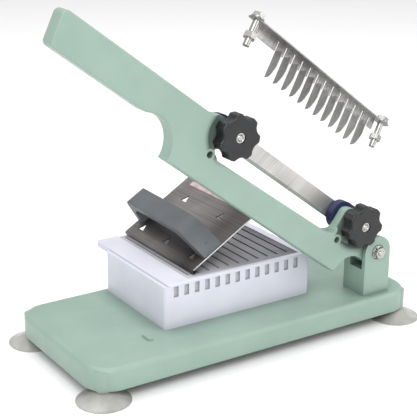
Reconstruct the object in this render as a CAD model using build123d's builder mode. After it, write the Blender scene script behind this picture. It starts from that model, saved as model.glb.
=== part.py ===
from build123d import *
import os
from math import cos, radians, sin

# Bench-top vegetable dicer: a moulded base on four suction cups, a slotted feed tray, a
# hinged arm that carries a strip blade on its back, a spiked food holder and a cutting comb.
# Millimetres, +X along the base towards the hinge, +Y away from the blade side, +Z up.
# Pieces are drawn about the middle of the base at table height, then moved together so that
# the origin is on the table under the middle of the whole dicer.

os.makedirs("parts", exist_ok=True)

# ---------------------------------------------------------------- driving dimensions
base_length, base_width = 364.0, 166.0
base_bottom, base_top = 12.0, 33.0
base_wall, base_deck = 3.0, 4.0
base_corner, base_edge = 27.0, 5.0
cup_pitch_x, cup_pitch_y = 337.0, 141.0
cup_diameter = 50.0

to_middle = (6.5, -5.2, 0.0)          # from the middle of the base to the middle of everything

pivot_x, pivot_z = 139.3, 77.0
ear_radius = 16.0
ear_front_y, ear_back_y = -73.4, -42.0
slot_front_y, slot_back_y = -69.0, -51.0
web_top = 60.0

rest_angle = 37.0                     # the arm stands this far above level at rest
arm_side_gap = 0.6
arm_front_y = slot_front_y + arm_side_gap
arm_back_y = slot_back_y - arm_side_gap
arm_thickness = arm_back_y - arm_front_y
handle_end, handle_half = 427.0, 15.8
bar_top_far, bar_top_near, bar_bottom = -15.6, -12.4, -40.6
upper_clamp = (223.6, 11.0)           # along the arm from the pivot, and above its centre line
lower_clamp = (37.0, 12.0)
comb_holes = ((235.2, -15.0), (51.8, -12.8))
recess_radius, recess_rim, recess_depth = 22.5, 7.5, 6.4

stud_diameter = 6.0
running_gap = 0.05                    # radial, round a turning shaft
press_gap = 0.02

pad_thickness = 9.0
blade_height, blade_thickness, blade_bevel = 18.2, 1.5, 3.0
blade_near, blade_far, blade_edge = 25.0, 236.0, 2.8    # span along the arm, cutting edge above its line
nut_height, nut_flats, low_head = 5.0, 10.0, 2.8

tray_left, tray_right = -85.0, 83.0
tray_front, tray_back = -37.0, 77.0
tray_top, tray_wall = 77.0, 3.0
deck_thickness, deck_back = 6.0, 104.0
rib_pitch, first_window_x = 11.5, -73.0
window_count, slot_count = 13, 11
slot_width, slot_depth = 2.2, 2.6
window_width, window_height, window_depth = 5.2, 10.5, 1.9

holder_hem_x, holder_front, holder_back = -45.0, -24.0, 104.0
holder_slope, holder_length, sheet = 31.0, 96.0, 1.2

comb_centre = (182.0, 101.0, -75.0)     # along the arm, above its centre line, and depth
comb_pitch, comb_teeth, first_tooth_x = 11.35, 12, -51.5
comb_tilt = 12.0
tooth_length, tooth_width, tooth_thickness = 36.0, 9.5, 0.8


def arm_plane(y):
    """Plane across the arm at depth y: x runs from the pivot to the handle, z away (+Y)."""
    along = (-cos(radians(rest_angle)), 0, sin(radians(rest_angle)))
    return Plane(origin=(pivot_x, y, pivot_z), x_dir=along, z_dir=(0, 1, 0))


def across_plane(along):
    """Plane across the arm's length: x towards the front (-Y), y away from the bar."""
    slope = radians(rest_angle)
    origin = (pivot_x - along * cos(slope), 0, pivot_z + along * sin(slope))
    return Plane(origin=origin, x_dir=(0, -1, 0), z_dir=(-cos(slope), 0, sin(slope)))


def save(builder, name):
    """Move a finished piece to the shared origin, label it and write its STEP file."""
    piece = Pos(*to_middle) * builder.part
    piece.label = name
    export_step(piece, f"parts/{name}.step")


# ---------------------------------------------------------------- base with its hinge post
tray_length, tray_width = tray_right - tray_left, tray_back - tray_front
tray_mid_x, tray_mid_y = (tray_left + tray_right) / 2, (tray_front + tray_back) / 2
screw_inset, screw_radius = 14.0, 1.75
post_left, post_right = pivot_x - ear_radius, pivot_x + ear_radius
cup_boss_radius, cup_stem_radius = 9.0, 5.0
rib_thickness = 2.5
nib_x, nib_y, nib_length, nib_width, nib_height = -107.5, -42.5, 15.0, 5.0, 2.0
nut_recess_radius, nut_recess_depth = 7.5, 1.2

with BuildPart() as base_shell:
    with BuildSketch(Plane.XY.offset(base_bottom)) as base_plan:
        RectangleRounded(base_length, base_width, base_corner)
    extrude(amount=base_top - base_bottom)
    fillet(base_shell.faces().sort_by(Axis.Z)[-1].edges(), base_edge)
    with BuildSketch(Plane.XY.offset(base_bottom)) as base_hollow:
        RectangleRounded(base_length - 2 * base_wall, base_width - 2 * base_wall, base_corner - base_wall)
    extrude(amount=base_top - base_deck - base_bottom, mode=Mode.SUBTRACT)
    # stiffening ribs and the four bosses that take the suction cups
    with BuildSketch(Plane.XY.offset(base_bottom + 1)) as ribs:
        with GridLocations(0, 54, 1, 3):
            Rectangle(base_length - base_wall, rib_thickness)
        with GridLocations(60, 0, 5, 1):
            Rectangle(rib_thickness, base_width - base_wall)
    extrude(amount=base_top - base_deck - base_bottom)
    with BuildSketch(Plane.XY.offset(base_bottom)) as bosses:
        with GridLocations(cup_pitch_x, cup_pitch_y, 2, 2):
            Circle(cup_boss_radius)
    extrude(amount=base_top - base_deck - base_bottom + 1)
    # hinge post: two ears with a web between them
    with BuildSketch(Plane.XZ.offset(-ear_back_y)) as post_side:
        with BuildLine():
            Polyline((post_left, pivot_z), (post_left, base_top - 1), (post_right, base_top - 1),
                     (post_right, pivot_z))
            ThreePointArc((post_right, pivot_z), (pivot_x, pivot_z + ear_radius), (post_left, pivot_z))
        make_face()
    extrude(amount=ear_back_y - ear_front_y)
    with BuildSketch(Plane.XZ.offset(-slot_back_y)) as post_slot:
        with Locations((pivot_x, web_top + ear_radius * 2)):
            Rectangle(ear_radius * 4, ear_radius * 4)
    extrude(amount=slot_back_y - slot_front_y, mode=Mode.SUBTRACT)
    # bore for the hinge bolt, with a shallow seat for the nut
    with BuildSketch(Plane.XZ.offset(-ear_back_y - 1)) as hinge_bore:
        with Locations((pivot_x, pivot_z)):
            Circle(stud_diameter / 2 + press_gap)
    extrude(amount=ear_back_y - ear_front_y + 2, mode=Mode.SUBTRACT)
    with BuildSketch(Plane.XZ.offset(-ear_front_y)) as nut_seat:
        with Locations((pivot_x, pivot_z)):
            Circle(nut_recess_radius)
    extrude(amount=-nut_recess_depth, mode=Mode.SUBTRACT)
    # small oval nib on the deck, and the stem holes
    with BuildSketch(Plane.XY.offset(base_top)) as nib:
        with Locations((nib_x, nib_y)):
            SlotOverall(nib_length, nib_width, rotation=90)
    extrude(amount=nib_height, taper=20)
    with BuildSketch(Plane.XY.offset(base_bottom)) as stem_holes:
        with GridLocations(cup_pitch_x, cup_pitch_y, 2, 2):
            Circle(cup_stem_radius)
    extrude(amount=12, mode=Mode.SUBTRACT)
    with BuildSketch(Plane.XY.offset(base_bottom)) as tray_screw_holes:
        with Locations((tray_mid_x, tray_mid_y)):
            with GridLocations(tray_length - 2 * screw_inset, tray_width - 2 * screw_inset, 2, 2):
                Circle(screw_radius + 0.25)
    extrude(amount=base_top - base_bottom + 1, mode=Mode.SUBTRACT)
save(base_shell, "base_shell")

# ---------------------------------------------------------------- suction cups
cup_stem_top, cup_neck_radius = base_bottom + 10.0, 6.5
cup_places = [(x, y) for x in (-cup_pitch_x / 2, cup_pitch_x / 2) for y in (-cup_pitch_y / 2, cup_pitch_y / 2)]
cup_names = ("suction_cup_front_left", "suction_cup_back_left", "suction_cup_front_right", "suction_cup_back_right")
for cup_name, (cup_x, cup_y) in zip(cup_names, cup_places):
    cup_axis = Plane(origin=(cup_x, cup_y, 0), x_dir=(1, 0, 0), z_dir=(0, -1, 0))
    with BuildPart() as suction_cup:
        with BuildSketch(cup_axis) as cup_profile:
            with BuildLine():
                Polyline((cup_diameter / 2, 0), (cup_diameter / 2, 0.8))
                Spline((cup_diameter / 2, 0.8), (16.0, 4.6), (9.5, 8.2), (cup_neck_radius, 9.6))
                Polyline((cup_neck_radius, 9.6), (cup_neck_radius, base_bottom - 0.02),
                         (cup_stem_radius - press_gap, base_bottom - 0.02),
                         (cup_stem_radius - press_gap, cup_stem_top), (0, cup_stem_top), (0, 5.6))
                Spline((0, 5.6), (9.0, 4.6), (17.0, 2.0), (cup_diameter / 2 - 2.4, 0))
                Line((cup_diameter / 2 - 2.4, 0), (cup_diameter / 2, 0))
            make_face()
        revolve(axis=Axis((cup_x, cup_y, 0), (0, 0, 1)))
    save(suction_cup, cup_name)

# ---------------------------------------------------------------- slotted feed tray
deck_left, deck_right = tray_left + 4.0, tray_right - 2.0
deck_mid_x, deck_mid_y = (deck_left + deck_right) / 2, (tray_front + deck_back) / 2
last_window_x = first_window_x + rib_pitch * (window_count - 1)
first_slot_x = last_window_x - rib_pitch * (slot_count - 1)
channel_left, channel_right, channel_depth = -57.0, 72.0, 1.4
front_rim = 5.0
window_top = tray_top - 2.6
screw_boss_radius, pilot_depth = 4.5, 14.0

with BuildPart() as feed_tray:
    with BuildSketch(Plane.XY.offset(base_top)) as tray_plan:
        with Locations((tray_mid_x, tray_mid_y)):
            RectangleRounded(tray_length, tray_width, 4)
    extrude(amount=tray_top - 2 - base_top)
    with BuildSketch(Plane.XY.offset(base_top)) as tray_hollow:
        with Locations((tray_mid_x, tray_mid_y)):
            RectangleRounded(tray_length - 2 * tray_wall, tray_width - 2 * tray_wall, 1.5)
    extrude(amount=tray_top - deck_thickness - base_top, mode=Mode.SUBTRACT)
    # deck plate, longer than the box, with margins either side of a shallow channel
    with BuildSketch(Plane.XY.offset(tray_top - deck_thickness)) as deck_plan:
        with Locations((deck_mid_x, deck_mid_y)):
            RectangleRounded(deck_right - deck_left, deck_back - tray_front, 3)
    extrude(amount=deck_thickness)
    chamfer(feed_tray.faces().sort_by(Axis.Z)[-1].edges(), 0.6)
    with BuildSketch(Plane.XY.offset(tray_top)) as channel:
        with Locations(((channel_left + channel_right) / 2, (tray_front + front_rim + deck_back + 1) / 2)):
            Rectangle(channel_right - channel_left, deck_back + 1 - tray_front - front_rim)
    extrude(amount=-channel_depth, mode=Mode.SUBTRACT)
    with BuildSketch(Plane.XY.offset(tray_top)) as slots:
        with Locations(((first_slot_x + last_window_x) / 2, deck_mid_y + front_rim)):
            with GridLocations(rib_pitch, 0, slot_count, 1):
                Rectangle(slot_width, deck_back - tray_front - 4 * front_rim)
    extrude(amount=-channel_depth - slot_depth, mode=Mode.SUBTRACT)
    # row of recesses under the front rim
    with BuildSketch(Plane.XZ.offset(-tray_front)) as windows:
        with Locations(((first_window_x + last_window_x) / 2, window_top - window_height / 2)):
            with GridLocations(rib_pitch, 0, window_count, 1):
                Rectangle(window_width, window_height)
    extrude(amount=-window_depth, mode=Mode.SUBTRACT)
    # inner ribs and screw bosses
    with BuildSketch(Plane.XY.offset(base_top)) as tray_ribs:
        with Locations((tray_mid_x, tray_mid_y)):
            with GridLocations(tray_length / 4, 0, 3, 1):
                Rectangle(2, tray_width - tray_wall)
            with GridLocations(tray_length - 2 * screw_inset, tray_width - 2 * screw_inset, 2, 2):
                Circle(screw_boss_radius)
    extrude(amount=tray_top - deck_thickness - base_top)
    with BuildSketch(Plane.XY.offset(base_top)) as pilot_holes:
        with Locations((tray_mid_x, tray_mid_y)):
            with GridLocations(tray_length - 2 * screw_inset, tray_width - 2 * screw_inset, 2, 2):
                Circle(screw_radius)
    extrude(amount=pilot_depth, mode=Mode.SUBTRACT)
save(feed_tray, "feed_tray")

screw_head_radius, screw_head_height = 3.4, 2.4
under_deck = base_top - base_deck
with BuildPart() as tray_screws:
    with Locations((tray_mid_x, tray_mid_y, under_deck)):
        with GridLocations(tray_length - 2 * screw_inset, tray_width - 2 * screw_inset, 2, 2):
            Cylinder(screw_head_radius, screw_head_height, align=(Align.CENTER, Align.CENTER, Align.MAX))
            Cylinder(screw_radius - press_gap, base_deck + pilot_depth - 2,
                     align=(Align.CENTER, Align.CENTER, Align.MIN))
save(tray_screws, "tray_screws")

# ---------------------------------------------------------------- hinge bolt and its nut
hinge_nut_y = ear_front_y + nut_recess_depth
washer_thickness, washer_radius = 1.0, 6.5

with BuildPart() as hinge_bolt:
    with BuildSketch(Plane.XZ.offset(-ear_back_y)) as hinge_head:
        with Locations((pivot_x, pivot_z)):
            RegularPolygon(nut_flats / 2, 6, major_radius=False)
    extrude(amount=-4)
    with BuildSketch(Plane.XZ.offset(-ear_back_y)) as hinge_shank:
        with Locations((pivot_x, pivot_z)):
            Circle(stud_diameter / 2)
    extrude(amount=ear_back_y - hinge_nut_y + washer_thickness + nut_height + 1.5)
    chamfer(hinge_bolt.faces().sort_by(Axis.Y)[0].edges(), 0.6)
save(hinge_bolt, "hinge_bolt")

with BuildPart() as hinge_washer:
    with BuildSketch(Plane.XZ.offset(-hinge_nut_y)) as hinge_washer_ring:
        with Locations((pivot_x, pivot_z)):
            Circle(washer_radius)
            Circle(stud_diameter / 2 + press_gap, mode=Mode.SUBTRACT)
    extrude(amount=washer_thickness)
save(hinge_washer, "hinge_washer")

with BuildPart() as hinge_nut:
    with BuildSketch(Plane.XZ.offset(-hinge_nut_y + washer_thickness)) as hinge_nut_hex:
        with Locations((pivot_x, pivot_z)):
            RegularPolygon(nut_flats / 2, 6, major_radius=False)
            Circle(stud_diameter / 2 + press_gap, mode=Mode.SUBTRACT)
    extrude(amount=nut_height)
save(hinge_nut, "hinge_nut")

# ---------------------------------------------------------------- arm
hub_radius, bush_radius = 15.6, 5.0
comb_hole_radius, comb_boss_radius = 3.25, 5.4
clamp_axes = (upper_clamp, lower_clamp)
handle_round, hub_round, bar_round = 5.0, 5.0, 1.5

with BuildPart() as arm:
    with BuildSketch(arm_plane(arm_front_y)) as arm_side:
        with BuildLine():
            Polyline((handle_end - 6.5, -handle_half - 0.6), (handle_end, handle_half - 0.4),
                     (257, handle_half - 0.4))
            Spline((257, handle_half - 0.4), (249, 17.6), (240, 20.4), tangents=((-1, 0), (-1, 0.1)))
            Polyline((240, 20.4), (214, 20.4), (207.5, 14), (207.5, 1), (213, -4), (224, -4), (229, -8),
                     (224.5, bar_top_far), (74, bar_top_near))
            Spline((74, bar_top_near), (62, -9.5), (55, 0), tangents=((-1, 0.02), (0, 1)))
            Line((55, 0), (55, 14))
            Spline((55, 14), (51.1, 20.6), (41.6, 23), tangents=((0, 1), (-1, 0)))
            Polyline((41.6, 23), (38, 23), (12, hub_radius - 5.6))
            ThreePointArc((12, hub_radius - 5.6), (-hub_radius, 0), (4, -15.1))
            Spline((4, -15.1), (19, -16.2), (27.5, -22), (35, bar_bottom), tangents=((1, 0), (0.5, -1)))
            Line((35, bar_bottom), (270.5, bar_bottom))
            Spline((270.5, bar_bottom), (271.8, -32), (276.6, -22.8), (286, -14.9), (300, -12.2),
                   (312, -15.4), (322, -16.4), tangents=((0, 1), (1, 0)))
            Line((322, -16.4), (handle_end - 6.5, -handle_half - 0.6))
        make_face()
        fillet(arm_side.vertices().group_by(Axis.X)[0], hub_round)
        fillet(arm_side.vertices().sort_by(Axis.X)[-2:], handle_round)
    extrude(amount=arm_thickness)
    # soft edges along the handle, the bar and the grip
    arm_faces = arm.faces().filter_by(Axis.Y)
    fillet(arm_faces.sort_by(Axis.Y)[0].edges(), bar_round)
    fillet(arm.faces().filter_by(Axis.Y).sort_by(Axis.Y)[-1].edges(), bar_round)
    # round dished seats for the knobs, with soft rims
    for clamp_axis in clamp_axes:
        seat_centre = arm_plane(arm_front_y).from_local_coords((*clamp_axis, 0))
        seat_plane = Plane(origin=seat_centre, x_dir=arm_plane(0).x_dir, z_dir=-arm_plane(0).y_dir)
        with BuildSketch(seat_plane) as dish:
            with BuildLine():
                Polyline((0, recess_depth), (0, 0), (recess_radius + recess_rim, 0))
                Spline((recess_radius + recess_rim, 0), (recess_radius, recess_depth),
                       tangents=((-1, 0.1), (-0.25, 1)))
                Line((recess_radius, recess_depth), (0, recess_depth))
            make_face()
        revolve(axis=Axis(seat_centre, (0, 1, 0)), mode=Mode.SUBTRACT)
    # small bosses keep the comb's bolt holes whole beside the seats
    with BuildSketch(arm_plane(arm_front_y)) as comb_bosses:
        with Locations(*comb_holes):
            Circle(comb_boss_radius)
    extrude(amount=arm_thickness)
    with BuildSketch(arm_plane(arm_front_y)) as stud_holes:
        with Locations(*clamp_axes):
            Circle(stud_diameter / 2 + press_gap)
        with Locations(*comb_holes):
            Circle(comb_hole_radius)
        Circle(bush_radius + press_gap)
    extrude(amount=arm_thickness, mode=Mode.SUBTRACT)
save(arm, "arm")

with BuildPart() as hinge_bush:
    with BuildSketch(arm_plane(arm_front_y)) as bush_ring:
        Circle(bush_radius)
        Circle(stud_diameter / 2 + running_gap, mode=Mode.SUBTRACT)
    extrude(amount=arm_thickness)
save(hinge_bush, "hinge_bush")

# ---------------------------------------------------------------- blade, its pads and studs
pad_sizes = ((36.0, 27.0), (46.0, 29.0))
blade_y = arm_back_y + pad_thickness
seat_y = arm_front_y + recess_depth
pad_names = ("blade_pad_upper", "blade_pad_lower")
stud_names = ("clamp_stud_upper", "clamp_stud_lower")
knob_names = ("star_knob_upper", "star_knob_lower")
insert_names = ("knob_insert_upper", "knob_insert_lower")
star_front_y, star_back_y = -80.0, -66.5
stud_end_y, head_radius, knob_washer_radius = -79.0, 6.5, 9.5
collar_front_y = seat_y - washer_thickness - 0.3
collar_radius, insert_radius, insert_inset = 9.0, 5.0, 1.0
star_lobes, star_radius = 7, 21.4
star_valley_radius, star_valley_pitch_radius, star_tip_radius = 9.0, 27.2, 2.4

for pad_name, clamp_axis, (pad_length, pad_height) in zip(pad_names, clamp_axes, pad_sizes):
    with BuildPart() as blade_pad:
        with BuildSketch(arm_plane(arm_back_y)) as pad_outline:
            with Locations(clamp_axis):
                SlotOverall(pad_length, pad_height)
                Circle(stud_diameter / 2 + press_gap, mode=Mode.SUBTRACT)
        extrude(amount=pad_thickness)
        chamfer(blade_pad.edges().group_by(Axis.Y)[-1].filter_by(GeomType.LINE), 0.6)
    save(blade_pad, pad_name)

with BuildPart() as blade:
    with BuildSketch(across_plane(blade_near)) as blade_section:
        with BuildLine():
            Polyline((-blade_y - blade_thickness, blade_edge),
                     (-blade_y - blade_thickness, blade_edge + blade_height),
                     (-blade_y, blade_edge + blade_height), (-blade_y, blade_edge + blade_bevel), close=True)
        make_face()
    extrude(amount=blade_far - blade_near)
    with BuildSketch(arm_plane(blade_y)) as blade_holes:
        with Locations(*clamp_axes):
            Circle(stud_diameter / 2 + press_gap)
    extrude(amount=blade_thickness, mode=Mode.SUBTRACT)
save(blade, "blade")

for stud_name, clamp_axis in zip(stud_names, clamp_axes):
    with BuildPart() as clamp_stud:
        with BuildSketch(arm_plane(stud_end_y)) as stud_shank:
            with Locations(clamp_axis):
                Circle(stud_diameter / 2)
        extrude(amount=blade_y + blade_thickness - stud_end_y)
        chamfer(clamp_stud.faces().sort_by(Axis.Y)[0].edges(), 0.8)
        with BuildSketch(arm_plane(blade_y + blade_thickness)) as stud_head:
            with Locations(clamp_axis):
                Circle(head_radius)
        extrude(amount=low_head)
        fillet(clamp_stud.faces().sort_by(Axis.Y)[-1].edges(), 1)
    save(clamp_stud, stud_name)

with BuildPart() as knob_washers:
    with BuildSketch(arm_plane(seat_y - washer_thickness)) as knob_washer_rings:
        with Locations(*clamp_axes):
            Circle(knob_washer_radius)
            Circle(stud_diameter / 2 + press_gap, mode=Mode.SUBTRACT)
    extrude(amount=washer_thickness)
save(knob_washers, "knob_washers")

# ---------------------------------------------------------------- star knobs and their inserts
for knob_name, insert_name, clamp_axis in zip(knob_names, insert_names, clamp_axes):
    with BuildPart() as star_knob:
        with BuildSketch(arm_plane(star_front_y)) as star:
            with Locations(clamp_axis):
                Circle(star_radius)
                with PolarLocations(star_valley_pitch_radius, star_lobes, start_angle=180 / star_lobes):
                    Circle(star_valley_radius, mode=Mode.SUBTRACT)
            fillet(star.vertices(), star_tip_radius)
        extrude(amount=star_back_y - star_front_y)
        fillet(star_knob.faces().sort_by(Axis.Y)[0].edges(), 2)
        chamfer(star_knob.faces().sort_by(Axis.Y)[-1].edges(), 0.8)
        with BuildSketch(arm_plane(star_back_y)) as collar:
            with Locations(clamp_axis):
                Circle(collar_radius)
        extrude(amount=collar_front_y - star_back_y)
        with BuildSketch(arm_plane(star_front_y)) as knob_bore:
            with Locations(clamp_axis):
                Circle(insert_radius + press_gap)
        extrude(amount=collar_front_y - star_front_y, mode=Mode.SUBTRACT)
    save(star_knob, knob_name)
    with BuildPart() as knob_insert:
        with BuildSketch(arm_plane(star_front_y + insert_inset)) as insert_ring:
            with Locations(clamp_axis):
                Circle(insert_radius)
                Circle(stud_diameter / 2 + running_gap, mode=Mode.SUBTRACT)
        extrude(amount=collar_front_y - star_front_y - insert_inset)
        chamfer(knob_insert.faces().sort_by(Axis.Y)[0].edges(), 0.4)
    save(knob_insert, insert_name)

# ---------------------------------------------------------------- food holder
slope_cos, slope_sin = cos(radians(holder_slope)), sin(radians(holder_slope))
hem_radius = 2.6
hem_z = tray_top - channel_depth + hem_radius + 0.3
holder_width = holder_back - holder_front
handle_low, handle_wide = 16.0, 23.0
foot_front, foot_lip = 60.0, 10.0
spike_places = ((9.0, -6.0), (9.0, 41.0), (9.0, 88.0), (60.0, 12.0), (60.0, 76.0))
spike_half, spike_length = 4.5, 9.0
screw_places = ((handle_low + handle_wide / 2, -15.0), (handle_low + handle_wide / 2, 97.5))


def up_slope(distance, y, height):
    """Point on the holder: distance up its slope, y along it, height above the hem's centre."""
    return (holder_hem_x + distance * slope_cos - height * slope_sin, y,
            hem_z + distance * slope_sin + height * slope_cos)


def holder_side(y):
    """Plane across the holder at y: x runs up the slope, y square to the sheet."""
    return Plane(origin=up_slope(0, y, 0), x_dir=(slope_cos, 0, slope_sin), z_dir=(0, -1, 0))


def holder_face(height):
    """Plane along the sheet: x runs up the slope, y is +Y."""
    return Plane(origin=up_slope(0, 0, height), x_dir=(slope_cos, 0, slope_sin),
                 z_dir=(-slope_sin, 0, slope_cos))


def holder_cross(distance, y, height):
    """Plane square to the slope at a point: x is +Y, y square to the sheet."""
    return Plane(origin=up_slope(distance, y, height), x_dir=(0, 1, 0),
                 z_dir=(slope_cos, 0, slope_sin))


with BuildPart() as holder_plate:
    with BuildSketch(holder_side(holder_front)) as sheet_section:
        Circle(hem_radius)
        with Locations((0, hem_radius - sheet)):
            Rectangle(holder_length, sheet, align=(Align.MIN, Align.MIN))
        Circle(hem_radius - sheet, mode=Mode.SUBTRACT)
    extrude(amount=-holder_width)
    # folded foot under the high end, with a lip that rides on the tray
    top_x, _, top_z = up_slope(holder_length, 0, hem_radius)
    foot_z = tray_top - channel_depth + 0.3
    with BuildSketch(Plane.XZ.offset(-foot_front)) as foot_section:
        with BuildLine():
            Polyline((top_x - sheet, top_z - sheet), (top_x - sheet, foot_z + sheet),
                     (top_x - foot_lip, foot_z + sheet), (top_x - foot_lip, foot_z), (top_x, foot_z),
                     (top_x, top_z), close=True)
        make_face()
    extrude(amount=foot_front - holder_back)
    # pierced spikes, pointing down under the sheet
    with BuildSketch(holder_face(hem_radius)) as spike_windows:
        with Locations(*spike_places):
            Polygon((0, -spike_half), (0, spike_half), (spike_length, 0), align=None)
    extrude(amount=-sheet, mode=Mode.SUBTRACT)
    for spike_distance, spike_y in spike_places:
        with BuildSketch(holder_cross(spike_distance, spike_y, hem_radius - sheet)) as spike:
            Polygon((-spike_half, 0.3), (spike_half, 0.3), (0, -spike_length), align=None)
        extrude(amount=-sheet)
    with BuildSketch(holder_face(hem_radius)) as handle_screw_holes:
        with Locations(*screw_places):
            Circle(screw_radius + 0.15)
    extrude(amount=-sheet, mode=Mode.SUBTRACT)
save(holder_plate, "holder_plate")

with BuildPart() as holder_handle:
    with BuildSketch(holder_cross(handle_low, 0, hem_radius)) as strap:
        with BuildLine():
            Spline((-23, 0), (-14, 10), (-2, 20), (14, 26), tangents=((0.5, 1), (1, 0.02)))
            Line((14, 26), (99, 27.7))
            ThreePointArc((99, 27.7), (104.5, 24.5), (103, 18))
            Polyline((103, 18), (101, 0), (94, 0), (95, 15), (88, 19.5), (18, 18.5))
            Spline((18, 18.5), (6, 13), (-4, 4), (-7, 0), tangents=((-1, -0.1), (-0.4, -1)))
            Line((-7, 0), (-23, 0))
        make_face()
    extrude(amount=handle_wide)
    fillet(holder_handle.edges().filter_by(lambda edge: edge.length > 60), 1.5)
    with BuildSketch(holder_face(hem_radius)) as handle_pilots:
        with Locations(*screw_places):
            Circle(screw_radius)
    extrude(amount=8, mode=Mode.SUBTRACT)
save(holder_handle, "holder_handle")

with BuildPart() as holder_screws:
    with BuildSketch(holder_face(hem_radius - sheet)) as holder_screw_heads:
        with Locations(*screw_places):
            Circle(screw_head_radius)
    extrude(amount=-screw_head_height)
    with BuildSketch(holder_face(hem_radius - sheet)) as holder_screw_shanks:
        with Locations(*screw_places):
            Circle(screw_radius - press_gap)
    extrude(amount=sheet + 7)
save(holder_screws, "holder_screws")

# ---------------------------------------------------------------- cutting comb
slope = radians(rest_angle)
comb_along, comb_above, comb_y = comb_centre
tilt_cos, tilt_sin = cos(radians(comb_tilt)), sin(radians(comb_tilt))
comb_origin = (pivot_x - comb_along * cos(slope) + comb_above * sin(slope), comb_y,
               pivot_z + comb_along * sin(slope) + comb_above * cos(slope))
comb_right = (cos(slope), 0, -sin(slope))
comb_front = (tilt_sin * sin(slope), -tilt_cos, tilt_sin * cos(slope))
comb_up = (tilt_cos * sin(slope), tilt_sin, tilt_cos * cos(slope))
comb_wall = Plane(origin=comb_origin, x_dir=comb_right, z_dir=comb_front)
comb_top = Plane(origin=comb_origin, x_dir=comb_right, z_dir=comb_up)
bolt_half_pitch = 91.7
rail_half, rail_sheet, rail_depth, rail_wall = 98.0, 1.2, 9.0, 11.0
left_wall_start, left_wall_end = -84.0, -58.0
right_wall_start, right_wall_end = 79.5, 86.0
bolt_inset = rail_depth / 2
tab_half, tab_height = 4.9, 11.0

with BuildPart() as comb_rail:
    with BuildSketch(comb_wall) as rail_flange:
        Rectangle(2 * rail_half, rail_sheet, align=(Align.CENTER, Align.MAX))
    extrude(amount=rail_depth)
    with BuildSketch(comb_wall) as rail_walls:
        with BuildLine():
            Polyline((left_wall_start, -rail_sheet), (left_wall_start, -rail_wall),
                     (left_wall_end, -rail_wall), (left_wall_end, -rail_sheet), close=True)
        make_face()
        with BuildLine():
            Polyline((right_wall_start, -rail_sheet), (right_wall_start, -rail_wall),
                     (right_wall_end, -rail_wall), (right_wall_end, -rail_sheet), close=True)
        make_face()
    extrude(amount=rail_sheet)
    with BuildSketch(comb_top) as rail_holes:
        with Locations((-bolt_half_pitch, -bolt_inset), (bolt_half_pitch, -bolt_inset)):
            Circle(stud_diameter / 2 + press_gap)
    extrude(amount=-rail_sheet, mode=Mode.SUBTRACT)
save(comb_rail, "comb_rail")

for tooth in range(comb_teeth):
    tooth_x = first_tooth_x + tooth * comb_pitch
    with BuildPart() as comb_tooth:
        # root tab against the rail's flange
        with BuildSketch(comb_wall) as root_tab:
            with Locations((tooth_x, -rail_sheet)):
                Rectangle(2 * tab_half, tab_height - rail_sheet, align=(Align.CENTER, Align.MAX))
        extrude(amount=tooth_thickness)
        # blade turned square to the tab, with a swept tip
        blade_root = comb_wall.from_local_coords((tooth_x - tab_half, 0, 0))
        with BuildSketch(Plane(origin=blade_root, x_dir=comb_front, z_dir=comb_right)) as tooth_blade:
            with BuildLine():
                Polyline((0, tab_height - 1), (0, tooth_length), (2.5, tooth_length - 0.4))
                Spline((2.5, tooth_length - 0.4), (7, tooth_length - 4.5), (tooth_width, tooth_length - 12),
                       tangents=((1, -0.1), (0.1, -1)))
                Polyline((tooth_width, tooth_length - 12), (tooth_width, tab_height + 1.5),
                         (tooth_width - 2, tab_height - 1), (0, tab_height - 1))
            make_face()
        extrude(amount=tooth_thickness)
    save(comb_tooth, f"comb_tooth_{tooth + 1:02d}")

bolt_length, bolt_head, nut_drop = 26.0, 4.0, 14.0
with BuildPart() as comb_bolts:
    with BuildSketch(comb_top) as comb_bolt_shanks:
        with Locations((-bolt_half_pitch, -bolt_inset), (bolt_half_pitch, -bolt_inset)):
            Circle(stud_diameter / 2)
    extrude(amount=-bolt_length)
    with BuildSketch(comb_top.offset(washer_thickness)) as comb_bolt_heads:
        with Locations((-bolt_half_pitch, -bolt_inset), (bolt_half_pitch, -bolt_inset)):
            RegularPolygon(nut_flats / 2, 6, major_radius=False)
    extrude(amount=bolt_head)
    with BuildSketch(comb_top) as comb_bolt_necks:
        with Locations((-bolt_half_pitch, -bolt_inset), (bolt_half_pitch, -bolt_inset)):
            Circle(stud_diameter / 2)
    extrude(amount=washer_thickness)
save(comb_bolts, "comb_bolts")

with BuildPart() as comb_washers:
    with BuildSketch(comb_top) as comb_washer_rings:
        with Locations((-bolt_half_pitch, -bolt_inset), (bolt_half_pitch, -bolt_inset)):
            Circle(washer_radius)
            Circle(stud_diameter / 2 + press_gap, mode=Mode.SUBTRACT)
    extrude(amount=washer_thickness)
save(comb_washers, "comb_washers")

with BuildPart() as comb_nuts:
    with BuildSketch(comb_top.offset(-nut_drop)) as comb_nut_hexes:
        with Locations((-bolt_half_pitch, -bolt_inset), (bolt_half_pitch, -bolt_inset)):
            RegularPolygon(nut_flats / 2, 6, major_radius=False)
            Circle(stud_diameter / 2 + press_gap, mode=Mode.SUBTRACT)
    extrude(amount=-nut_height)
save(comb_nuts, "comb_nuts")
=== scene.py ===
"""Looks for a bench-top vegetable dicer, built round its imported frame.

Sizes in the classes are millimetres; everything placed in the scene is in metres, in the frame's axes.
"""

import logging
import math
from dataclasses import dataclass
from enum import Enum

import bmesh
import bpy
from mathutils import Matrix, Vector


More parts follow.
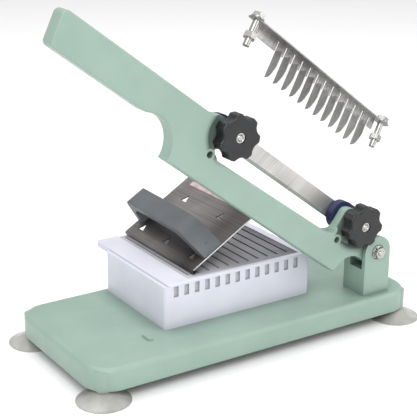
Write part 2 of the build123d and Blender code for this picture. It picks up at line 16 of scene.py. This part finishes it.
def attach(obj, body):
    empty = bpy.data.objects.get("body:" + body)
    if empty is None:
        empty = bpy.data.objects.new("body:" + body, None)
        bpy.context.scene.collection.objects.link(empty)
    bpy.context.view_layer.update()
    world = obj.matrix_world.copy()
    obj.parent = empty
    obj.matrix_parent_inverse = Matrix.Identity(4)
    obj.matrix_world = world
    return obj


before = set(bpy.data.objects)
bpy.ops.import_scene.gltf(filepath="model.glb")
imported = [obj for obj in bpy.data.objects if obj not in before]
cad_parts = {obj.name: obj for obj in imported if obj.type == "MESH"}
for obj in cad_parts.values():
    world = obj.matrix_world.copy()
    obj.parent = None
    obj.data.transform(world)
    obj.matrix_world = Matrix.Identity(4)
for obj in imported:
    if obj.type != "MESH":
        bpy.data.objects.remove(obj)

MM = 0.001
LOG = logging.getLogger("dicer")
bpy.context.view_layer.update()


class Axis(Enum):
    """Directions that brushing or grinding lines follow on the metal pieces."""

    ALONG_LEVER = "lever"
    ALONG_TRAY = "tray"
    ALONG_COMB = "comb"


# Settings of the nodes used most: blotchy noise, a clamped range, a colour mix and a colour multiply.
NOISE = {"noise_dimensions": "3D"}
RANGE = {"clamp": True}
BLEND = {"data_type": "RGBA"}
MULTIPLY = {"data_type": "RGBA", "blend_type": "MULTIPLY"}
# The noise's mid tones, which a finish stretches over its two colours.
NOISE_LOW, NOISE_HIGH = 0.3, 0.7
ANY_ROUGHNESS = 0.55

# The lever and the comb rise 37 degrees to the left, so their grinding lines are turned by that.
GRAIN_TURN = {
    Axis.ALONG_LEVER: (0.0, math.radians(37.0), 0.0),
    Axis.ALONG_TRAY: (0.0, 0.0, math.radians(90.0)),
    Axis.ALONG_COMB: (0.0, math.radians(37.0), 0.0),
}


def linear(code: str) -> tuple[float, float, float, float]:
    """Turn an sRGB hex colour into linear RGBA.

    Args:
        code: colour such as "#A9C3B6".

    Returns:
        The linear colour with an alpha of 1.
    """
    parts = [int(code[i:i + 2], 16) / 255.0 for i in (1, 3, 5)]
    red, green, blue = [c / 12.92 if c <= 0.04045 else ((c + 0.055) / 1.055) ** 2.4 for c in parts]
    return red, green, blue, 1.0


def add_node(tree: bpy.types.NodeTree, kind: str, settings: dict | None = None,
             inputs: dict | None = None) -> bpy.types.Node:
    """Add a shader node with its settings and its inputs, each a value or a socket to link.

    Args:
        tree: node tree that gets the node.
        kind: Blender's name for the node type.
        settings: attribute names and values.
        inputs: socket names or numbers, with a value or an output socket each.

    Returns:
        The new node.
    """
    node = tree.nodes.new(kind)
    for name, value in (settings or {}).items():
        setattr(node, name, value)
    for name, value in (inputs or {}).items():
        socket = node.inputs[name]
        if isinstance(value, bpy.types.NodeSocket):
            tree.links.new(value, socket)
        else:
            socket.default_value = value
    return node


def paint_corner_shade(tree: bpy.types.NodeTree, colour: bpy.types.NodeSocket, depth: float,
               reach_mm: float) -> bpy.types.NodeSocket:
    """Paint shade into a colour in corners and recesses, found by ambient occlusion.

    Args:
        tree: node tree to add to.
        colour: colour to deepen.
        depth: how much darker a closed corner gets, from 0 to 1.
        reach_mm: how far from a corner it starts.

    Returns:
        The deepened colour.
    """
    open_sky = add_node(tree, "ShaderNodeAmbientOcclusion", {"samples": 8},
                        {"Distance": reach_mm * MM}).outputs["AO"]
    factor = add_node(tree, "ShaderNodeMapRange", RANGE,
                      {"Value": open_sky, "From Min": 0.25, "From Max": 0.9, "To Min": 1.0 - depth,
                       "To Max": 1.0}).outputs[0]
    return add_node(tree, "ShaderNodeMix", MULTIPLY, {0: 1.0, 6: colour, 7: factor}).outputs[2]


@dataclass(frozen=True)
class Finish:
    """A named surface finish between a main and a shade colour."""

    name: str
    main: str
    shade: str
    roughness: float = 0.42

    def build(self) -> bpy.types.Material:
        """Build the finish as a material.

        Returns:
            The material.
        """
        material = bpy.data.materials.new(self.name)
        material.use_nodes = True
        tree = material.node_tree
        tree.nodes.clear()
        coords = add_node(tree, "ShaderNodeTexCoord").outputs["Object"]
        shader = add_node(tree, "ShaderNodeBsdfPrincipled", None, self.surface(tree, coords))
        add_node(tree, "ShaderNodeOutputMaterial", None, {"Surface": shader.outputs[0]})
        return material

    def surface(self, tree: bpy.types.NodeTree, coords: bpy.types.NodeSocket) -> dict:
        """Give the shader's inputs; each finish has its own."""
        raise NotImplementedError

    def blotches(self, tree: bpy.types.NodeTree, coords: bpy.types.NodeSocket,
                 size_mm: float) -> bpy.types.NodeSocket:
        """Mix the finish's two colours in soft blotches.

        Args:
            tree: node tree to add to.
            coords: object coordinates in metres.
            size_mm: width of a blotch in millimetres.

        Returns:
            The mixed colour.
        """
        noise = add_node(tree, "ShaderNodeTexNoise", NOISE,
                         {"Vector": coords, "Scale": 1.0 / (size_mm * MM), "Detail": 2.0,
                          "Roughness": ANY_ROUGHNESS}).outputs[0]
        factor = add_node(tree, "ShaderNodeMapRange", RANGE,
                          {"Value": noise, "From Min": NOISE_LOW, "From Max": NOISE_HIGH}).outputs[0]
        return add_node(tree, "ShaderNodeMix", BLEND,
                        {0: factor, 6: linear(self.main), 7: linear(self.shade)}).outputs[2]


@dataclass(frozen=True)
class MouldedPlastic(Finish):
    """Injection-moulded plastic: faint flow mottling and a fine spark-eroded grain.

    The real grain is about 0.1 mm, too fine to show, so it is drawn 1.6 mm across or more.
    """

    grain_mm: float = 1.6
    grain_depth: float = 0.05
    mottle_mm: float = 45.0
    coat: float = 0.0
    corner_shade: float = 0.0
    corner_reach: float = 28.0
    wear_mm: float = 12.0

    def paint(self, tree: bpy.types.NodeTree, coords: bpy.types.NodeSocket) -> bpy.types.NodeSocket:
        """Give the plastic's own colour before its corners are shaded."""
        return self.blotches(tree, coords, self.mottle_mm)

    def surface(self, tree: bpy.types.NodeTree, coords: bpy.types.NodeSocket) -> dict:
        """Give the shader's inputs.

        Args:
            tree: node tree to add to.
            coords: object coordinates in metres.

        Returns:
            Input names with their values or sockets.
        """
        colour = self.paint(tree, coords)
        # Painted shade: corners and recesses are darkened by ambient occlusion.
        if self.corner_shade > 0.0:
            colour = paint_corner_shade(tree, colour, self.corner_shade, self.corner_reach)
        grain = add_node(tree, "ShaderNodeTexNoise", NOISE,
                         {"Vector": coords, "Scale": 1.0 / (self.grain_mm * MM), "Detail": 3.0,
                          "Roughness": ANY_ROUGHNESS}).outputs[0]
        wear = add_node(tree, "ShaderNodeTexNoise", NOISE,
                        {"Vector": coords, "Scale": 1.0 / (self.wear_mm * MM), "Detail": 3.0,
                         "Roughness": ANY_ROUGHNESS}).outputs[0]
        rough = add_node(tree, "ShaderNodeMapRange", RANGE,
                         {"Value": wear, "From Min": NOISE_LOW, "From Max": NOISE_HIGH,
                          "To Min": self.roughness - 0.05, "To Max": self.roughness + 0.06}).outputs[0]
        bump = add_node(tree, "ShaderNodeBump", None,
                        {"Strength": self.grain_depth, "Distance": 0.2 * MM, "Height": grain}).outputs[0]
        return {"Base Color": colour, "Roughness": rough, "IOR": 1.49, "Coat Weight": self.coat,
                "Coat Roughness": 0.25, "Normal": bump}


@dataclass(frozen=True)
class TrayPlastic(MouldedPlastic):
    """Cool white moulded ABS, with painted shade greying its slotted bed, most at the right under the
    lever, and in its windows.

    Each edge of the bed or of the windows' row is a pair of millimetres between which it fades.
    """

    # Painted shade: the bed's light and dark greys, greyer towards the lever at the right, in soft
    # clouds.
    bed_shade_light: str = "#BAB9BF"
    bed_shade_dark: str = "#66666C"
    bed_left: tuple[float, float] = (-51.0, -49.5)
    bed_right: tuple[float, float] = (77.5, 79.0)
    bed_front: tuple[float, float] = (-36.6, -35.1)
    bed_shade_span: tuple[float, float] = (-20.0, 75.0)
    shade_cloud_mm: float = 22.0
    # Painted shade in the recessed windows below the rim: their grey and its fading edges.
    pocket_shade: str = "#B9B9C0"
    pocket_front: tuple[float, float] = (-41.9, -41.6)
    pocket_back: tuple[float, float] = (-38.6, -38.0)
    pocket_left: tuple[float, float] = (-71.0, -70.5)
    pocket_right: tuple[float, float] = (84.5, 85.0)
    pocket_top: tuple[float, float] = (75.5, 75.9)

    def region(self, tree: bpy.types.NodeTree,
               edges: list[tuple[bpy.types.NodeSocket, tuple[float, float], bool]]
               ) -> bpy.types.NodeSocket:
        """Mask a box-shaped region that fades at its edges.

        Args:
            tree: node tree to add to.
            edges: a coordinate, the millimetres it fades between, and whether it rises there.

        Returns:
            The mask, 1 inside.
        """
        mask = None
        for coordinate, (start, stop), rises in edges:
            edge = add_node(tree, "ShaderNodeMapRange", RANGE,
                            {"Value": coordinate, "From Min": start * MM, "From Max": stop * MM,
                             "To Min": 0.0 if rises else 1.0, "To Max": 1.0 if rises else 0.0}).outputs[0]
            if mask is None:
                mask = edge
            else:
                mask = add_node(tree, "ShaderNodeMath", {"operation": "MULTIPLY"},
                                {0: mask, 1: edge}).outputs[0]
        return mask

    def paint(self, tree: bpy.types.NodeTree, coords: bpy.types.NodeSocket) -> bpy.types.NodeSocket:
        """Give the white plastic with painted shade in its bed and windows.

        Args:
            tree: node tree to add to.
            coords: object coordinates in metres.

        Returns:
            The colour.
        """
        place = add_node(tree, "ShaderNodeSeparateXYZ", None, {"Vector": coords}).outputs
        bed = self.region(tree, [(place["X"], self.bed_left, True), (place["X"], self.bed_right, False),
                                 (place["Y"], self.bed_front, True)])
        # Painted shade over the slotted bed, growing towards the lever at the right, broken into soft
        # clouds.
        cloud = add_node(tree, "ShaderNodeTexNoise", NOISE,
                         {"Vector": coords, "Scale": 1.0 / (self.shade_cloud_mm * MM), "Detail": 3.0,
                          "Roughness": ANY_ROUGHNESS}).outputs[0]
        drift = add_node(tree, "ShaderNodeMapRange", RANGE,
                         {"Value": cloud, "From Min": NOISE_LOW, "From Max": NOISE_HIGH,
                          "To Min": -0.12, "To Max": 0.12}).outputs[0]
        bed_shade_rise = add_node(tree, "ShaderNodeMapRange", RANGE,
                              {"Value": place["X"], "From Min": self.bed_shade_span[0] * MM,
                               "From Max": self.bed_shade_span[1] * MM, "To Max": 0.9}).outputs[0]
        bed_shade_amount = add_node(tree, "ShaderNodeMath", {"operation": "ADD", "use_clamp": True},
                        {0: bed_shade_rise, 1: drift}).outputs[0]
        shaded_bed = add_node(tree, "ShaderNodeMix", BLEND,
                          {0: bed_shade_amount, 6: linear(self.bed_shade_light), 7: linear(self.bed_shade_dark)}).outputs[2]
        plain = self.blotches(tree, coords, self.mottle_mm)
        colour = add_node(tree, "ShaderNodeMix", BLEND, {0: bed, 6: plain, 7: shaded_bed}).outputs[2]
        # Painted shade in the recessed windows.
        pocket_shade = self.region(tree, [
            (place["Y"], self.pocket_front, True), (place["Y"], self.pocket_back, False),
            (place["X"], self.pocket_left, True), (place["X"], self.pocket_right, False),
            (place["Z"], self.pocket_top, False)])
        return add_node(tree, "ShaderNodeMix", BLEND,
                        {0: pocket_shade, 6: colour, 7: linear(self.pocket_shade)}).outputs[2]


@dataclass(frozen=True)
class SoftVinyl(Finish):
    """Clear soft PVC: lets light through, slightly milky, with slow waves from the mould."""

    cloud_mm: float = 16.0
    wave_mm: float = 14.0

    def surface(self, tree: bpy.types.NodeTree, coords: bpy.types.NodeSocket) -> dict:
        """Give the shader's inputs.

        Args:
            tree: node tree to add to.
            coords: object coordinates in metres.

        Returns:
            Input names with their values or sockets.
        """
        cloud = add_node(tree, "ShaderNodeTexNoise", NOISE,
                         {"Vector": coords, "Scale": 1.0 / (self.cloud_mm * MM), "Detail": 2.0,
                          "Roughness": ANY_ROUGHNESS}).outputs[0]
        rough = add_node(tree, "ShaderNodeMapRange", RANGE,
                         {"Value": cloud, "From Min": NOISE_LOW, "From Max": NOISE_HIGH,
                          "To Min": self.roughness, "To Max": self.roughness + 0.12}).outputs[0]
        waves = add_node(tree, "ShaderNodeTexNoise", NOISE,
                         {"Vector": coords, "Scale": 1.0 / (self.wave_mm * MM), "Detail": 1.0,
                          "Roughness": ANY_ROUGHNESS}).outputs[0]
        bump = add_node(tree, "ShaderNodeBump", None,
                        {"Strength": 0.05, "Distance": 0.3 * MM, "Height": waves}).outputs[0]
        return {"Base Color": self.blotches(tree, coords, self.cloud_mm), "Roughness": rough,
                "IOR": 1.52, "Transmission Weight": 0.45, "Normal": bump}


@dataclass(frozen=True)
class GroundSteel(Finish):
    """Cold-rolled stainless strip: fine lines along the rolling direction, and broad soft bands that are
    partly its own tone and partly painted reflection.

    The real lines are a few hundredths of a millimetre wide, so they are drawn 1.4 mm wide to show.
    """

    direction: Axis = Axis.ALONG_LEVER
    line_mm: float = 1.4
    line_stretch: float = 60.0
    line_depth: float = 0.12
    band_mm: float = 60.0
    front_shade: str = "#FFFFFF"
    front_fade: tuple[float, float] = (-10.0, 50.0)

    def surface(self, tree: bpy.types.NodeTree, coords: bpy.types.NodeSocket) -> dict:
        """Give the shader's inputs.

        Args:
            tree: node tree to add to.
            coords: object coordinates in metres.

        Returns:
            Input names with their values or sockets.
        """
        turned = add_node(tree, "ShaderNodeMapping", {"vector_type": "POINT"},
                          {"Vector": coords, "Rotation": GRAIN_TURN[self.direction]}).outputs[0]
        drawn = add_node(tree, "ShaderNodeMapping", {"vector_type": "POINT"},
                         {"Vector": turned, "Scale": (1.0 / self.line_stretch, 1.0, 1.0)}).outputs[0]
        lines = add_node(tree, "ShaderNodeTexNoise", NOISE,
                         {"Vector": drawn, "Scale": 1.0 / (self.line_mm * MM), "Detail": 4.0,
                          "Roughness": 0.6}).outputs[0]
        # Broad soft bands that darken the metal: partly the strip's own tone, partly painted reflection.
        bands = add_node(tree, "ShaderNodeTexNoise", NOISE,
                         {"Vector": coords, "Scale": 1.0 / (self.band_mm * MM), "Detail": 1.0,
                          "Roughness": ANY_ROUGHNESS}).outputs[0]
        line_mix = add_node(tree, "ShaderNodeMapRange", RANGE,
                            {"Value": lines, "From Min": 0.25, "From Max": 0.75}).outputs[0]
        lined = add_node(tree, "ShaderNodeMix", BLEND,
                         {0: line_mix, 6: linear(self.main), 7: linear(self.shade)}).outputs[2]
        band_mix = add_node(tree, "ShaderNodeMapRange", RANGE,
                            {"Value": bands, "From Min": 0.42, "From Max": 0.62,
                             "To Max": 0.5}).outputs[0]
        banded = add_node(tree, "ShaderNodeMix", MULTIPLY,
                          {0: band_mix, 6: lined, 7: linear(self.shade)}).outputs[2]
        # Painted shade: the sheet's front half is darkened where the lever's shadow falls; the strips'
        # front shade of white leaves them unchanged.
        across = add_node(tree, "ShaderNodeSeparateXYZ", None, {"Vector": coords}).outputs["Y"]
        front_mix = add_node(tree, "ShaderNodeMapRange", RANGE,
                             {"Value": across, "From Min": self.front_fade[0] * MM,
                              "From Max": self.front_fade[1] * MM, "To Min": 1.0,
                              "To Max": 0.0}).outputs[0]
        front_shaded = add_node(tree, "ShaderNodeMix", MULTIPLY,
                         {0: front_mix, 6: banded, 7: linear(self.front_shade)}).outputs[2]
        rough = add_node(tree, "ShaderNodeMapRange", RANGE,
                         {"Value": lines, "From Min": 0.25, "From Max": 0.75,
                          "To Min": self.roughness - 0.06, "To Max": self.roughness + 0.12}).outputs[0]
        bump = add_node(tree, "ShaderNodeBump", None,
                        {"Strength": self.line_depth, "Distance": 0.05 * MM, "Height": lines}).outputs[0]
        return {"Base Color": front_shaded, "Metallic": 1.0, "Roughness": rough, "Normal": bump}


@dataclass(frozen=True)
class PlatedSteel(Finish):
    """Zinc or nickel plated fasteners: bright, with the faint orange peel of barrel plating."""

    peel_mm: float = 1.2

    def surface(self, tree: bpy.types.NodeTree, coords: bpy.types.NodeSocket) -> dict:
        """Give the shader's inputs.

        Args:
            tree: node tree to add to.
            coords: object coordinates in metres.

        Returns:
            Input names with their values or sockets.
        """
        peel = add_node(tree, "ShaderNodeTexNoise", NOISE,
                        {"Vector": coords, "Scale": 1.0 / (self.peel_mm * MM), "Detail": 2.0,
                         "Roughness": ANY_ROUGHNESS}).outputs[0]
        rough = add_node(tree, "ShaderNodeMapRange", RANGE,
                         {"Value": peel, "From Min": NOISE_LOW, "From Max": NOISE_HIGH,
                          "To Min": self.roughness - 0.05, "To Max": self.roughness + 0.1}).outputs[0]
        bump = add_node(tree, "ShaderNodeBump", None,
                        {"Strength": 0.15, "Distance": 0.08 * MM, "Height": peel}).outputs[0]
        return {"Base Color": self.blotches(tree, coords, self.peel_mm), "Metallic": 1.0,
                "Roughness": rough, "Normal": bump}


@dataclass(frozen=True)
class StudioPaper(Finish):
    """Matt white background paper, with the faintest fibre."""

    fibre_mm: float = 4.0

    def surface(self, tree: bpy.types.NodeTree, coords: bpy.types.NodeSocket) -> dict:
        """Give the shader's inputs."""
        return {"Base Color": self.blotches(tree, coords, self.fibre_mm),
                "Roughness": self.roughness, "Specular IOR Level": 0.1}


# SAGE and WHITE darken their corners with painted shade (corner_shade).
SAGE = MouldedPlastic("moulded ABS, sage green", "#8FA79B", "#889F94", 0.42, coat=0.1,
                      corner_shade=0.5)
WHITE = TrayPlastic("moulded ABS, cool white", "#D6D6E1", "#CECEDA", 0.46, grain_depth=0.04,
                    corner_shade=0.3, corner_reach=14.0)
BLACK = MouldedPlastic("moulded phenolic, black", "#1F2022", "#191A1C", 0.38, 2.2, 0.10, 12.0)
NAVY = MouldedPlastic("moulded ABS, navy blue", "#1E2852", "#182044", 0.40, mottle_mm=10.0)
GREY = MouldedPlastic("moulded polypropylene, grey", "#5E6266", "#565A5E", 0.46, 1.8, 0.08, 20.0)
NYLON = MouldedPlastic("turned nylon", "#D9D8D2", "#CCCBC4", 0.50)
LABEL = MouldedPlastic("plain paper label", "#C9B9BA", "#B79C9F", 0.6, mottle_mm=7.0)
VINYL = SoftVinyl("soft clear PVC", "#DCDCD7", "#C3C2BC", 0.26)
# band_mm sizes the broad bands, which are partly painted reflection.
BLADE_STEEL = GroundSteel("ground stainless strip", "#DEDCDA", "#C2C0BE", 0.40, band_mm=45.0)
COMB_STEEL = GroundSteel("rolled stainless strip", "#C6C5C4", "#989796", 0.38, Axis.ALONG_COMB)
# The sheet's front_shade is painted shade of the lever over its front half.
SHEET_STEEL = GroundSteel("rolled stainless sheet", "#A8A4A3", "#7F7B7A", 0.40, Axis.ALONG_TRAY,
                          front_shade="#B0AEAE")
EDGE_STEEL = PlatedSteel("sheared steel edge", "#E6E5E3", "#D6D5D3", 0.45)
PLATED = PlatedSteel("bright plated steel", "#C9C8C4", "#A3A29E", 0.24)
PAPER = StudioPaper("white background paper", "#FBFBFB", "#F6F6F6", 0.9)


class Shop:
    """Keeps one material per finish and puts it on the pieces."""

    def __init__(self) -> None:
        """Start with no materials made."""
        self.made: dict[str, bpy.types.Material] = {}

    def material(self, finish: Finish) -> bpy.types.Material:
        """Give the material of a finish, made once.

        Args:
            finish: one of the finish dataclasses.

        Returns:
            The material.
        """
        if finish.name not in self.made:
            self.made[finish.name] = finish.build()
        return self.made[finish.name]

    def coat(self, finish: Finish, *names: str) -> None:
        """Put a finish on carried-over frame pieces.

        Args:
            finish: one of the finish dataclasses.
            names: node names.
        """
        for name in names:
            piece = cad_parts[name]
            for slot in piece.material_slots:
                slot.material = self.material(finish)
            LOG.info("%s: %s", name, finish.name)

    def add(self, name: str, shape: bmesh.types.BMesh, finish: Finish, body: str,
            slot: str) -> bpy.types.Object:
        """Turn a finished bmesh into a piece that rides on a body.

        Args:
            name: piece name.
            shape: the shape, in metres in the frame's axes; it is freed.
            finish: one of the finish dataclasses.
            body: frame body it rides on.
            slot: the record's material slot; not used.

        Returns:
            The new object.
        """
        bmesh.ops.remove_doubles(shape, verts=shape.verts, dist=0.001 * MM)
        bmesh.ops.recalc_face_normals(shape, faces=shape.faces)
        mesh = bpy.data.meshes.new(name)
        shape.to_mesh(mesh)
        shape.free()
        mesh.shade_smooth()
        mesh.set_sharp_from_angle(angle=math.radians(35.0))
        piece = bpy.data.objects.new(name, mesh)
        bpy.context.scene.collection.objects.link(piece)
        mesh.materials.append(self.material(finish))
        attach(piece, body)
        LOG.info("%s: new piece on %s, %s", name, body, finish.name)
        return piece


@dataclass
class BaseUnit:
    """The moulded base on its suction cups, with the hinge fixings."""

    cup_names: tuple[str, ...] = ("suction_cup_front_left", "suction_cup_back_left",
                                  "suction_cup_front_right", "suction_cup_back_right")

    def dress(self, shop: Shop) -> None:
        """Finish the base's pieces.

        Args:
            shop: gives the materials.
        """
        shop.coat(SAGE, "base_shell")
        shop.coat(VINYL, *self.cup_names)
        shop.coat(PLATED, "hinge_bolt", "hinge_washer", "hinge_nut", "tray_screws")


@dataclass
class FeedTray:
    """The slotted white tray."""

    def dress(self, shop: Shop) -> None:
        """Finish the tray."""
        shop.coat(WHITE, "feed_tray")


@dataclass
class Lever:
    """The lever with its blade, pads, studs and star knobs."""

    def dress(self, shop: Shop) -> None:
        """Finish the lever's pieces.

        Args:
            shop: gives the materials.
        """
        shop.coat(SAGE, "arm")
        shop.coat(NYLON, "hinge_bush")
        shop.coat(BLADE_STEEL, "blade")
        shop.coat(NAVY, "blade_pad_upper", "blade_pad_lower")
        shop.coat(PLATED, "clamp_stud_upper", "clamp_stud_lower", "knob_washers",
                  "knob_insert_upper", "knob_insert_lower")
        shop.coat(BLACK, "star_knob_upper", "star_knob_lower")


@dataclass
class FoodHolder:
    """The spiked sheet with its grey handle."""

    hem_x: float = -38.5
    hem_z: float = 78.5
    slope: float = 31.0
    front: float = -29.2
    face: float = 2.6
    sheet: float = 1.2
    length: float = 96.0
    label_start: float = 80.0
    label_width: float = 5.4
    label_front: float = -10.0
    label_length: float = 96.0
    label_thickness: float = 0.2
    label_corner: float = 0.8
    edge_thickness: float = 0.12
    edge_corner: float = 0.3
    corner_segments: int = 4
    clearance: float = 0.02

    def slab(self, low: tuple[float, float, float], size: tuple[float, float, float],
             corner: float) -> bmesh.types.BMesh:
        """Make a thin slab lying on the slope, its thin outline rounded.

        Args:
            low: lowest corner as distance up the slope, place across it and height above the hem.
            size: extent along the same three directions, in millimetres.
            corner: radius of the rounded corners.

        Returns:
            The slab, in metres in the frame's axes.
        """
        shape = bmesh.new()
        bmesh.ops.create_cube(shape, size=1.0)
        bmesh.ops.scale(shape, vec=size, verts=shape.verts)
        thin = min(range(3), key=lambda i: size[i])
        edges = [e for e in shape.edges
                 if abs((e.verts[0].co - e.verts[1].co)[thin]) > 0.5 * size[thin]]
        bmesh.ops.bevel(shape, geom=edges, offset=corner, segments=self.corner_segments,
                        profile=0.5, affect="EDGES", material=-1)
        bmesh.ops.translate(shape, vec=[a + 0.5 * b for a, b in zip(low, size)], verts=shape.verts)
        place = Matrix.Translation((self.hem_x * MM, 0.0, self.hem_z * MM))
        turn = Matrix.Rotation(-math.radians(self.slope), 4, "Y")
        bmesh.ops.transform(shape, matrix=place @ turn @ Matrix.Scale(MM, 4), verts=shape.verts)
        return shape

    def dress(self, shop: Shop) -> None:
        """Finish the holder's pieces, with its sheared front edge and its plain label.

        Args:
            shop: gives the materials.
        """
        shop.coat(SHEET_STEEL, "holder_plate")
        shop.coat(GREY, "holder_handle")
        shop.coat(PLATED, "holder_screws")
        label = self.slab((self.label_start, self.label_front, self.face + self.clearance),
                          (self.label_width, self.label_length, self.label_thickness),
                          self.label_corner)
        shop.add("holder_label", label, LABEL, "holder", "white_plastic")
        edge = self.slab((0.0, self.front - self.clearance - self.edge_thickness, self.face - self.sheet),
                         (self.length, self.edge_thickness, self.sheet), self.edge_corner)
        shop.add("holder_sheared_edge", edge, EDGE_STEEL, "holder", "sheet_steel")


@dataclass
class LooseComb:
    """The dicing comb, shown off the lever."""

    teeth: int = 12

    def dress(self, shop: Shop) -> None:
        """Finish the comb's pieces.

        Args:
            shop: gives the materials.
        """
        shop.coat(COMB_STEEL, "comb_rail")
        shop.coat(COMB_STEEL, *[f"comb_tooth_{i + 1:02d}" for i in range(self.teeth)])
        shop.coat(PLATED, "comb_bolts", "comb_washers", "comb_nuts")


@dataclass(frozen=True)
class SoftBox:
    """One square studio light: place in metres, side in metres and power in watts."""

    name: str
    place: tuple[float, float, float]
    size: float
    power: float


@dataclass
class Studio:
    """Floor, lights and camera."""

    floor_half: float = 6.0
    lens: float = 100.14
    eye_mm: tuple[float, float, float] = (-584.4, -884.1, 491.8)
    heading: float = 33.29
    dip: float = 19.01
    roll: float = 0.44
    aim: tuple[float, float, float] = (0.0, 0.0, 0.12)
    surroundings: float = 0.62
    boxes: tuple[SoftBox, ...] = (SoftBox("key box", (-1.3, -1.5, 1.9), 1.6, 42.0),
                                  SoftBox("fill box", (1.5, -1.3, 1.1), 1.4, 14.0),
                                  SoftBox("top box", (0.1, 0.6, 2.3), 2.0, 26.0))

    def floor(self, shop: Shop) -> None:
        """Lay the pale floor.

        Args:
            shop: gives the paper's material.
        """
        shape = bmesh.new()
        bmesh.ops.create_grid(shape, x_segments=2, y_segments=2, size=self.floor_half)
        mesh = bpy.data.meshes.new("floor")
        shape.to_mesh(mesh)
        shape.free()
        mesh.materials.append(shop.material(PAPER))
        paper = bpy.data.objects.new("floor", mesh)
        bpy.context.scene.collection.objects.link(paper)

    def lights(self) -> None:
        """Hang the soft boxes and set the pale surroundings."""
        for box in self.boxes:
            lamp = bpy.data.lights.new(box.name, "AREA")
            lamp.shape = "SQUARE"
            lamp.size = box.size
            lamp.energy = box.power
            hung = bpy.data.objects.new(box.name, lamp)
            hung.location = box.place
            facing = Vector(self.aim) - Vector(box.place)
            hung.rotation_euler = facing.to_track_quat("-Z", "Y").to_euler()
            bpy.context.scene.collection.objects.link(hung)
        world = bpy.data.worlds.new("studio")
        world.use_nodes = True
        backdrop = world.node_tree.nodes["Background"]
        backdrop.inputs[0].default_value = (1.0, 1.0, 1.0, 1.0)
        backdrop.inputs[1].default_value = self.surroundings
        bpy.context.scene.world = world

    def camera(self) -> None:
        """Set up the camera at the viewing angle."""
        head, dip, roll = (math.radians(a) for a in (self.heading, self.dip, self.roll))
        ahead = Vector((math.sin(head) * math.cos(dip), math.cos(head) * math.cos(dip), -math.sin(dip)))
        level = Vector((math.cos(head), -math.sin(head), 0.0))
        above = level.cross(ahead)
        right = level * math.cos(roll) + above * math.sin(roll)
        up = right.cross(ahead)
        turn = Matrix((right, up, -ahead)).transposed()
        view = bpy.data.cameras.new("camera")
        view.lens = self.lens
        view.sensor_width = 36.0
        view.clip_end = 50.0
        eye = bpy.data.objects.new("camera", view)
        eye.matrix_world = Matrix.Translation(Vector(self.eye_mm) * MM) @ turn.to_4x4()
        bpy.context.scene.collection.objects.link(eye)
        bpy.context.scene.camera = eye

    def build(self, shop: Shop) -> None:
        """Build the whole studio.

        Args:
            shop: gives the materials.
        """
        self.floor(shop)
        self.lights()
        self.camera()
        bpy.context.scene.view_settings.view_transform = "Standard"


def main() -> None:
    """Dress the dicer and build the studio."""
    shop = Shop()
    for unit in (BaseUnit(), FeedTray(), Lever(), FoodHolder(), LooseComb()):
        LOG.info("building %s", type(unit).__name__)
        unit.dress(shop)
    Studio().build(shop)
    bpy.context.view_layer.update()


if __name__ == "__main__":
    logging.basicConfig(level=logging.INFO, format="%(name)s %(message)s")
    main()
